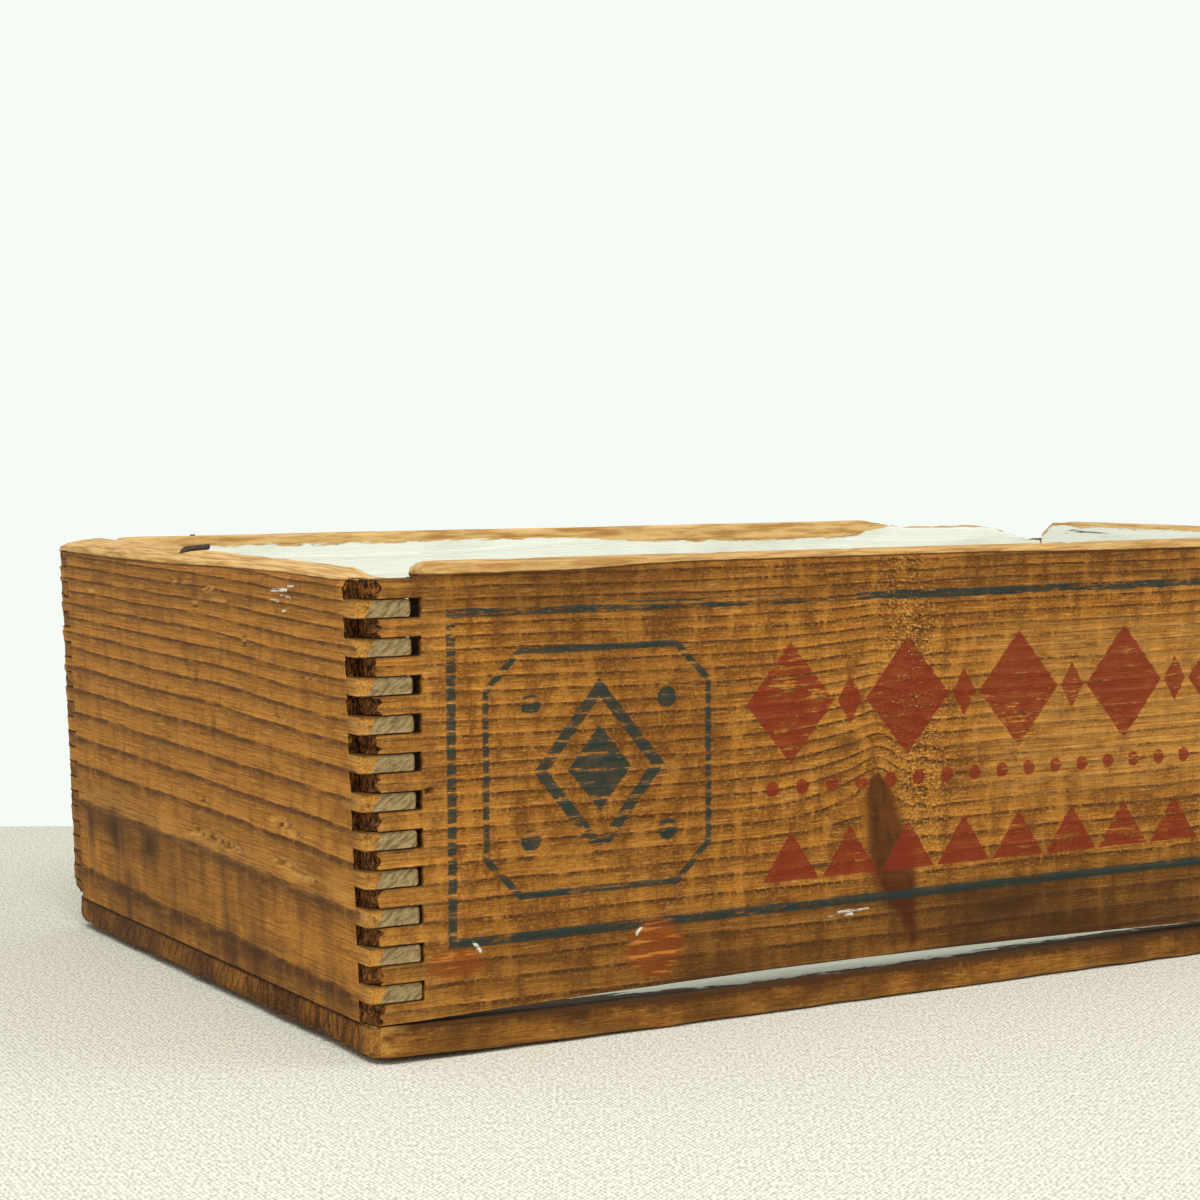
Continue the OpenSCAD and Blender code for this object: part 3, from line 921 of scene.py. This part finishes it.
def back_board():
    lines = side_lines(BACK_Y - SIDE_T)
    x, _, z = middles(lines)
    cells = side_cells(lines) & ~((x > RIGHT_X - SLOT_L) & (z > SPLIT_FLOOR))
    board, tips, roots, flanks = comb_board(lines, cells, 0)
    split, top = wear_back(board)
    u, v, w = RIGHT_X - board.x, board.z - WALL_Z, BACK_Y - board.y
    ring = ring_count(waved(u, v, w, 23) + swept(u, v, 24), BACK_RINGS)
    torn = noise(22, 2, *(board.flat / [3, 1.6, 1.6]).T)
    splintered = smooth(split, 0.02, 0.2) * smooth(top - board.z, 2.0, 0.0)
    splinters = noise(26, 3, u / 16, v / 1.2, w / 1.2)
    board.sink(raised_grain(u, v, w, ring, 0.38, 27, SIDE_T) * ~flanks + tips * (0.1 + 0.2 * (1 + torn))
               + 0.9 * splintered * (1 + splinters))

    bare = 5.0 + 3.5 * smooth(board.x, -60, 60) - 7.0 * smooth(board.x, 122, 165)
    paint_top = np.minimum(SIDE_TOP - bare, top - 0.8)
    # Painted shade in the slots and on the torn finger tips
    slots = side_gloom(board, 0.85 * roots, flanks)
    board.make(
        "back_board", "side_pine", plain_pine("back_pine", age=0.22), (u + BACK_START, v, w), ring=ring,
        torn=tips * 0.2, raw=0.8 * splintered, gloom=np.maximum(slots, 0.12 * tips * smooth(torn, 0.1, 0.7)),
        dirt=0.22 * smooth(v, 45, 10) * (0.8 + 0.6 * noise(43, 3, u / 60, v / 25, w)),
        rim=rim_share(top - board.z, np.where(w > SIDE_T - 1.5, 11.0, 3.4)),
        paint=inside_paint(board, 0, paint_top - board.z, w, SIDE_T))


def end_lines(inner, outer):
    """Grid lines of an end board between two faces, through every edge of its notches."""
    edges = [low + step for low in SLOT_FEET for step in (FINGER_GAP, FINGER_H - FINGER_GAP)]
    edges = [WALL_Z] + [z for z in edges if z < END_TOP] + [END_TOP]
    across = with_edges(through(sorted([outer[1], inner[1]]), 4.0))
    return across, comb_run(FRONT_Y, BACK_Y, NOTCH_L, 1.6, 3.0), comb_rows(edges, 0.85)


def end_cells(lines, broken_side):
    """Filled cells of an end board whose top finger is lost at the front (-1) or at the back (1)."""
    _, y, z = middles(lines)
    comb = np.abs(y) > BACK_Y - NOTCH_L
    lost = comb & (y * broken_side > 0) & (z > TOP_SLOT_Z - FINGER_H)
    return ~(comb & ~in_slot(z, FINGER_GAP)) & ~lost


def round_tips(board, inner, radius):
    """Rounds the corners of the fingers' tips where they look into the box."""
    tip, z = np.abs(board.flat[:, 1]) > BACK_Y - NOTCH_L + 0.1, board.flat[:, 2]
    for low in SLOT_FEET:
        near = radius * (tip & (z > low) & (z < low + FINGER_H))
        board.round_arrises((inner, (2, low + FINGER_GAP, -1), near),
                            (inner, (2, low + FINGER_H - FINGER_GAP, 1), near))


# Torn places on the left end's outer face: middle, half length, half height and depth
LEFT_TEARS = (
    (161.8, 140.5, 9, 1.3, 0.9), (129.0, 138.7, 7, 1.5, 1.0), (143.7, 132.3, 5, 1.4, 1.0),
    (260.6, 132.0, 8, 1.1, 0.7), (118.0, 135.0, 14, 1.0, 0.6), (205.0, 136.5, 10, 0.9, 0.6),
    (95.9, 121.3, 3, 2.4, 0.7), (146.6, 58.7, 5, 1.2, 1.0), (140.0, 45.5, 26, 2.4, 1.5),
    (118.0, 44.5, 12, 1.8, 1.7), (70.5, 59.6, 10, 2.2, 1.6), (60.0, 57.0, 6, 1.6, 1.4),
    (70.0, 45.4, 15, 2.0, 1.3), (52.0, 43.0, 12, 1.6, 1.0), (40.0, 112.0, 8, 0.9, 0.5),
    (180.0, 84.0, 9, 0.8, 0.5), (66.0, 96.0, 10, 0.8, 0.5), (220.0, 100.0, 8, 0.8, 0.5),
)
# Small dark scars across the grain there: middle and half height
LEFT_SCARS = ((152.8, 109.4, 2.6), (144.8, 105.0, 3.6), (129.5, 88.1, 5.0), (95.9, 121.3, 2.2))
# White scuffs there: both ends and half width
LEFT_SCUFFS = (
    (56.0, 141.5, 69.0, 140.8, 0.5), (53.0, 139.0, 61.0, 139.2, 0.35), (63.0, 137.2, 71.0, 137.4, 0.3),
    (58.0, 134.2, 61.0, 133.9, 0.3), (50.0, 143.0, 55.0, 142.8, 0.3),
)
# The break beside the left end's lost finger falls away inwards and forwards from a slanting line
BREAK_START, BREAK_SLANT, BREAK_L = 5.0, math.radians(27), 9.0
# Share of the lean that the inner ends of its front fingers have not followed
FINGER_HELD = 0.28


def left_break(u, w):
    """How far down the break is at a place on the left end's top, from 0 to 1."""
    past = math.cos(BREAK_SLANT) * w - math.sin(BREAK_SLANT) * (u - BREAK_START)
    return smooth(past, 0, BREAK_L)


def wear_left(board):
    """Wears, breaks and leans the left end. Gives its top and its places in the grain."""
    nicks = board.nicks(10, 0.4, 35)
    round_tips(board, LEFT_INSIDE, 1.3)
    w, u, _ = (board.flat - [LEFT_X, FRONT_Y, WALL_Z]).T
    risen = END_TOP + LEFT_RISE * u / DEPTH - TOP_FALL * smooth(w, 14, 2)
    board.z[:] = squeeze(board.z, TOP_SLOT_Z + FINGER_GAP, END_TOP, risen)
    rim = (2, risen, 1)
    board.round_arrises(
        (LEFT, rim, 4.6 * nicks), (LEFT_INSIDE, rim, 1.6 * nicks), (LEFT, FRONT, 3.2 * nicks),
        (LEFT, BACK, 1.6 * nicks), (LEFT_INSIDE, FRONT, 0.8 * nicks), (BACK, rim, 5.0))
    u, w = board.y - FRONT_Y, board.x - LEFT_X
    top = risen - (risen - TOP_SLOT_Z) * left_break(u, w)
    board.z[:] = squeeze(board.z, BROKEN_FLOOR, risen, top)
    v = board.z - WALL_Z
    held = np.where(board.flat[:, 1] < FRONT_Y + NOTCH_L - 0.1, FINGER_HELD * w / END_T, 0)
    board.x -= LEAN * v * (1 - held)
    return top, u, v, w


def left_dirt(u, v, w):
    """Dirt in streaks on the left end's lower part, most towards the back, and along its top."""
    streaks, cloud = noise(61, 3, u / 7, v / 40, w / 8), noise(62, 3, u / 60, v / 26, w / 30)
    low = smooth(v, 60, 34)
    dirt = low * (0.20 + 0.36 * streaks + 0.25 * cloud) + 0.14 * smooth(v, 125, 140) * (1 + cloud)
    return (dirt + 0.35 * low * smooth(u, 130, 220) * smooth(v, 8, 26) * (0.7 + cloud)) * smooth(u, 4, 30)


def left_end():
    lines = end_lines(LEFT, LEFT_INSIDE)
    board, tips, roots, flanks = comb_board(lines, end_cells(lines, -1), 1)
    top, u, v, w = wear_left(board)
    ring = ring_count(waved(u, v, w, 51) - 0.016 * (u - 150), LEFT_RINGS)
    outer = smooth(w, 3.0, 0.5)
    pits = noise(57, 3, u / 2.2, v / 1.4, w / 2)
    tears = gouges(u, v, LEFT_TEARS, 54) * outer
    scars = sum(bell(u - a, 1.6) * np.exp(-((v - b) / c) ** 4) for a, b, c in LEFT_SCARS) * outer
    torn = noise(58, 2, *(board.flat / [4, 2, 2]).T)
    board.sink(raised_grain(u, v, w, ring, 0.42, 53, END_T) * ~flanks + tears * (0.8 + 0.5 * pits)
               + tips * 0.25 * (1 + torn) + roots * 0.5 * (1 + pits) + 0.3 * scars)

    below_top = top - board.z
    worn_band = 0.5 * bell(v - 42 - 0.012 * u, 4) * outer
    corner = 0.8 * smooth(u, 14, 2) * smooth(w, 6, 4) + 0.6 * smooth(DEPTH - u, 8, 1) * outer
    board.make(
        "left_end", "end_pine", end_pine("left_end_pine", LEFT_START, LEFT_SCUFFS), (u + LEFT_START, v, w),
        ring=ring, end=tips, torn=roots, wear=np.maximum(worn_band, corner),
        dirt=left_dirt(u, v, w) * outer + 0.6 * scars + 0.55 * tears * smooth(pits, 0.1, 0.6),
        rim=rim_share(below_top, 1.6 + 2.4 * smooth(u, 60, 220)) * (u > 6),
        raw=np.clip(1.4 * tears * smooth(pits, 0.3, -0.2), 0, 1),
        # Painted shade on the slots' flanks and, unevenly, on the notches' roots
        gloom=np.maximum(0.7 * flanks, roots * np.clip(0.3 + 0.5 * pits, 0, 0.8)),
        paint=inside_paint(board, 1, below_top - 6.0, w, END_T))


def wear_right(board):
    """Wears the right end's arrises and breaks its top at the back. Gives its top."""
    nicks = board.nicks(10, 0.4, 65)
    round_tips(board, RIGHT_INSIDE, 1.5)
    board.round_arrises(
        (RIGHT, END_RIM, 2.6 * nicks), (RIGHT_INSIDE, END_RIM, 1.4 * nicks), (RIGHT, FRONT, 2.6 * nicks),
        (RIGHT, BACK, 2.6 * nicks))
    fall = np.clip(1 - (BACK_Y - NOTCH_L - board.y) / RIGHT_BREAK_L, 0, 1)
    top = END_TOP - RIGHT_BREAK_DROP * fall
    board.z[:] = squeeze(board.z, BROKEN_FLOOR, END_TOP, top)
    return top


def right_end():
    lines = end_lines(RIGHT, RIGHT_INSIDE)
    board, tips, roots, flanks = comb_board(lines, end_cells(lines, 1), 1)
    top = wear_right(board)
    u, v, w = BACK_Y - board.y, board.z - WALL_Z, RIGHT_X - board.x
    ring = ring_count(waved(u, v, w, 71) + swept(u, v, 74), RIGHT_RINGS)
    torn = noise(78, 2, *(board.flat / [4, 2, 2]).T)
    board.sink(raised_grain(u, v, w, ring, 0.40, 73, END_T) * ~flanks + tips * 0.25 * (1 + torn))

    below_top = top - board.z
    outer, cloud = smooth(w, 3.0, 0.5), noise(72, 3, u / 60, v / 26, w / 30)
    board.make(
        "right_end", "end_pine", end_pine("right_end_pine", RIGHT_START), (u + RIGHT_START, v, w), ring=ring,
        end=tips, torn=roots, dirt=(0.24 * smooth(v, 60, 20) + 0.12) * (0.8 + 0.8 * cloud) * outer,
        rim=rim_share(below_top, 2.8), wear=0.6 * smooth(u, 14, 2) * outer,
        # Painted shade on the slots' flanks and on the notches' roots
        gloom=np.maximum(0.7 * flanks, 0.4 * roots), paint=inside_paint(board, 1, below_top - 2.0, w, END_T))


BOTTOM_NAILS = ("bottom_nails_front", "bottom_nails_back", "bottom_nails_left", "bottom_nails_right")


def nail_places():
    """Middles of the heads of the bottom's nails, which stand well apart from each other."""
    places = []
    for node in BOTTOM_NAILS:
        points = np.array([vertex.co for vertex in frame["nodes"][node].data.vertices])[:, :2] / MM
        while len(points):
            near = np.linalg.norm(points - points[0], axis=1) < 15
            places.append((points[near].min(0) + points[near].max(0)) / 2)
            points = points[~near]
    return places


def wear_bottom(board):
    """Rounds the bottom's arrises and corners and bends its ends up. Gives the heights in its wood."""
    nicks = board.nicks(14, 0.45, 85)
    ends, sides = [[(axis, BOTTOM_LOW[axis], -1), (axis, BOTTOM_HIGH[axis], 1)] for axis in range(2)]
    for side in ends + sides:
        board.round_arrises((side, (2, 0.0, -1), 2.8 * nicks), (side, (2, BOTTOM_T, 1), 1.3 * nicks))
    board.round_arrises(*[(end, side, CORNER_R) for end in ends for side in sides])
    radius = (SAG_RUN ** 2 + SAG_RISE ** 2) / (2 * SAG_RISE)
    past = np.maximum(0, np.abs(board.x) - (BOTTOM_HIGH[0] - SAG_RUN))
    w = board.z.copy()
    board.z += radius - np.sqrt(radius ** 2 - past ** 2)
    return w


def nail_dents(board):
    """Hollows about the heads of the bottom's nails."""
    away = [np.linalg.norm(board.points[:, :2] - nail, axis=1) for nail in nail_places()]
    return 0.75 * smooth(np.minimum.reduce(away), 7.5, 2.4)


def bottom_paint(u, v):
    """Distance into the paint on the bottom's upper face, which starts further back to either side."""
    front_edge = 5.0 + 0.15 * np.maximum(0, 150 - u) + np.minimum(0.075 * np.maximum(0, u - 215), 6.5)
    right_edge, back_edge = RIGHT_X - LEFT_X - END_T + 8, DEPTH - SIDE_T + 2
    return np.minimum.reduce([u - END_T + 8, right_edge - u, v - front_edge, back_edge - v])


def bottom_board():
    (low_x, low_y, _), (high_x, high_y, _) = BOTTOM_LOW, BOTTOM_HIGH
    ys = with_edges(np.unique(np.concatenate([spaced(low_y, -20, 0.7), spaced(-20, high_y, 1.9)])))
    zs = np.array([0, 0.6, 1.6, 3.0, 5.0, 7.4, 9.2, 10.4, BOTTOM_T])
    lines = (with_edges(spaced(low_x, high_x, 4.6)), ys, zs)
    board = Board(lines, np.ones([len(line) - 1 for line in lines], bool))
    on_end, on_side, on_face = (board.on(axis) for axis in range(3))
    w = wear_bottom(board)
    u, v = board.x - LEFT_X, board.y - FRONT_Y
    ring = ring_count(waved(u, v, 2.2 * w, 91), BOTTOM_RINGS)
    saw = noise(94, 1, v / 0.95, w / 40, 0.5)
    sawn = on_end * smooth(board.x, 0, -200) * (0.35 + 0.65 * smooth(v, 170, 90))
    under = smooth(w, 2.5, 0.5) * (on_face & ~on_end & ~on_side)
    torn = noise(95, 2, u / 2.5, v / 2.5, w / 2.5)
    relief = raised_grain(u, v, w, ring, 0.30, 93, BOTTOM_T) * (1 - 0.5 * on_end)
    board.sink(relief + 0.55 * sawn * (1 + saw) + nail_dents(board) * under + 0.2 * on_end * (1 + torn))

    cloud, patches = noise(96, 3, u / 45, v / 30, w / 14), noise(97, 3, u / 16, v / 16, w / 9)
    dirt = 0.52 + 0.30 * cloud + 0.42 * patches - 0.1 * on_end + 0.75 * sawn * smooth(saw, -0.2, 0.4)
    stain = (bell(u - 322, 13) + 0.8 * bell(u - 204, 8)) * (v < 8)
    dirt = np.clip(dirt - 0.45 * bell(u - 276, 34) * (v < 8) + 0.1 * stain, 0, 0.9)
    dirt = dirt + under * (0.36 + 0.12 * cloud - dirt)
    painted = smooth(w, BOTTOM_T - 1.2, BOTTOM_T - 0.6) > 0.5
    corner = smooth(np.maximum(u, v), 16, 4)
    board.make(
        "bottom_board", "bottom_pine", plain_pine("bottom_pine", age=0.3, ragged=16.0),
        (u + BOTTOM_START, v, w), ring=ring, torn=on_end * 0.25, knot=0.6 * stain,
        # Where its paint stops, the upper face is made dark brown: dirt, and painted shade in the gap under
        # the front board
        dirt=np.where(painted, 0.95, dirt * (1 - 0.6 * corner)),
        wear=np.maximum(0.4 * on_side * smooth(w, 3.5, 0.5), 0.7 * corner),
        paint=np.where(painted, bottom_paint(u, v), -20.0))


# Nails

# Fineness of a pitted nail's skin, the depth of its pits and their width
NAIL_GRID, PIT_DEPTH, PIT_W = 0.22, 0.14, 0.9


def pitted_nail(node, iron):
    """A nail as the CAD has it, with a rough rusted skin."""
    piece = placed(node + "_rusted", frame["nodes"][node].data.copy())
    remesh = piece.modifiers.new("skin", "REMESH")
    remesh.mode, remesh.voxel_size = "VOXEL", NAIL_GRID * MM
    bpy.context.view_layer.update()
    shaped = bpy.data.meshes.new_from_object(piece.evaluated_get(bpy.context.evaluated_depsgraph_get()))
    piece.modifiers.clear()
    piece.data = shaped
    points = np.array([vertex.co for vertex in shaped.vertices]) / MM
    normals = np.array([vertex.normal for vertex in shaped.vertices])
    points -= normals * (PIT_DEPTH * (1 + noise(101, 3, *(points.T / PIT_W))))[:, None]
    shaped.vertices.foreach_set("co", (points * MM).ravel())
    shaped.polygons.foreach_set("use_smooth", np.ones(len(shaped.polygons), bool))
    shaped.materials.clear()
    shaped.materials.append(iron)
    shaped.update()
    stand_in(piece, node)


def nails():
    iron = rusted_iron()
    for node in ("bent_lid_nail", "lid_nail_stubs"):
        pitted_nail(node, iron)
    for node in BOTTOM_NAILS:
        mesh = frame["nodes"][node].data
        mesh.materials.clear()
        mesh.materials.append(iron)


# Stage

# Camera, fitted to the crate's own edges
CAMERA_PLACE = Vector((-0.6242, -0.9104, 0.2032))
CAMERA_YAW, CAMERA_PITCH, CAMERA_ROLL = 0.5255, 0.0595, -0.0054
CAMERA_LENS, SENSOR_W = 77.52, 36
# Distance from the camera to the back edge of the table, along the view
TABLE_REACH = 1.385
BACKDROP = tone(245, 251, 245)
SKY_LIGHT, SKY_STRENGTH = (1.0, 1.0, 0.97, 1), 0.6
# The cloth with painted shade between its threads, and with painted highlight on their crests
CLOTH_SHADED, CLOTH_LIT = tone(192, 190, 172), tone(246, 246, 232)
# Width of a thread of the cloth
THREAD = 0.9


def camera():
    flat = math.cos(CAMERA_PITCH)
    forward = Vector((math.sin(CAMERA_YAW) * flat, math.cos(CAMERA_YAW) * flat, -math.sin(CAMERA_PITCH)))
    level = Vector((math.cos(CAMERA_YAW), -math.sin(CAMERA_YAW), 0))
    upward = level.cross(forward)
    right = level * math.cos(CAMERA_ROLL) + upward * math.sin(CAMERA_ROLL)
    up = upward * math.cos(CAMERA_ROLL) - level * math.sin(CAMERA_ROLL)
    lens = bpy.data.cameras.new("camera")
    lens.lens, lens.sensor_width = CAMERA_LENS, SENSOR_W
    eye = bpy.context.scene.camera = placed("camera", lens)
    turn = Matrix((right, up, -forward)).transposed().to_4x4()
    eye.matrix_world = Matrix.Translation(CAMERA_PLACE) @ turn


def linen():
    """Coarse weave of uneven threads, each seen where it passes over the other set, lighter on the crests
    and darker between them as painted highlight and shade.
    """
    g = Surface("linen", roughness=0.95, specular=0.05)
    place = g.place()
    waver = g.times(0.8 * THREAD, g.add(g.noise(place, 0.15, 0.15, 2.0), -0.5))
    x, y, _ = g.parts(place)
    across = g.math("SINE", g.times(math.pi / THREAD, g.add(x, waver)))
    along = g.math("SINE", g.times(math.pi / (2 * THREAD), g.add(y, waver)))
    slubs = g.noise(place, 0.95, 0.32, 2.0)
    height = g.add(g.times(0.13, across, along), slubs)
    # Colour follows the weave's height: painted shade low down, painted highlight on top
    g.feed(g.inputs["Base Color"], g.mix(g.rise(height, 0.24, 0.70), CLOTH_SHADED, CLOTH_LIT))
    g.bump(height, 0.0004, 0.6)
    return g.material


def table():
    """A cloth-covered table top that ends behind the crate, as the camera sees it."""
    corners = [(-3, -1.5, 0), (3, -1.5, 0), (3, TABLE_REACH, 0), (-3, TABLE_REACH, 0)]
    mesh = bpy.data.meshes.new("table")
    mesh.from_pydata(corners, [], [(0, 1, 2, 3)])
    mesh.materials.append(linen())
    floor = placed("table", mesh)
    floor.location = (CAMERA_PLACE.x, CAMERA_PLACE.y, 0)
    floor.rotation_euler = (0, 0, -CAMERA_YAW)


def world():
    """Even pale light all round, seen as the backdrop."""
    made = bpy.context.scene.world = bpy.data.worlds.new("studio")
    g = Graph(made)
    path = g.node("ShaderNodeLightPath", {}).outputs
    seen = g.most(path["Is Camera Ray"], path["Is Glossy Ray"])
    light = g.node("ShaderNodeBackground", {"Color": SKY_LIGHT, "Strength": SKY_STRENGTH}).outputs[0]
    shown = g.node("ShaderNodeBackground", {"Color": BACKDROP}).outputs[0]
    mixed = g.node("ShaderNodeMixShader", {0: seen, 1: light, 2: shown}).outputs[0]
    g.feed(g.tree.nodes["World Output"].inputs["Surface"], mixed)


def lamp(name, place, aim, size, watts):
    data = bpy.data.lights.new(name, "AREA")
    data.shape, data.size, data.energy = "DISK", size, watts
    made = placed(name, data)
    made.location = place
    made.rotation_euler = (Vector(aim) - Vector(place)).to_track_quat("-Z", "Y").to_euler()


def stage():
    bpy.context.scene.view_settings.view_transform = "Standard"
    camera()
    table()
    world()
    lamp("key", (-0.9, -1.1, 1.7), (-0.1, -0.1, 0.05), 1.2, 26)
    lamp("fill", (1.6, -1.3, 1.2), (0, 0, 0.05), 1.6, 12)


front_board()
back_board()
left_end()
right_end()
bottom_board()
nails()
stage()
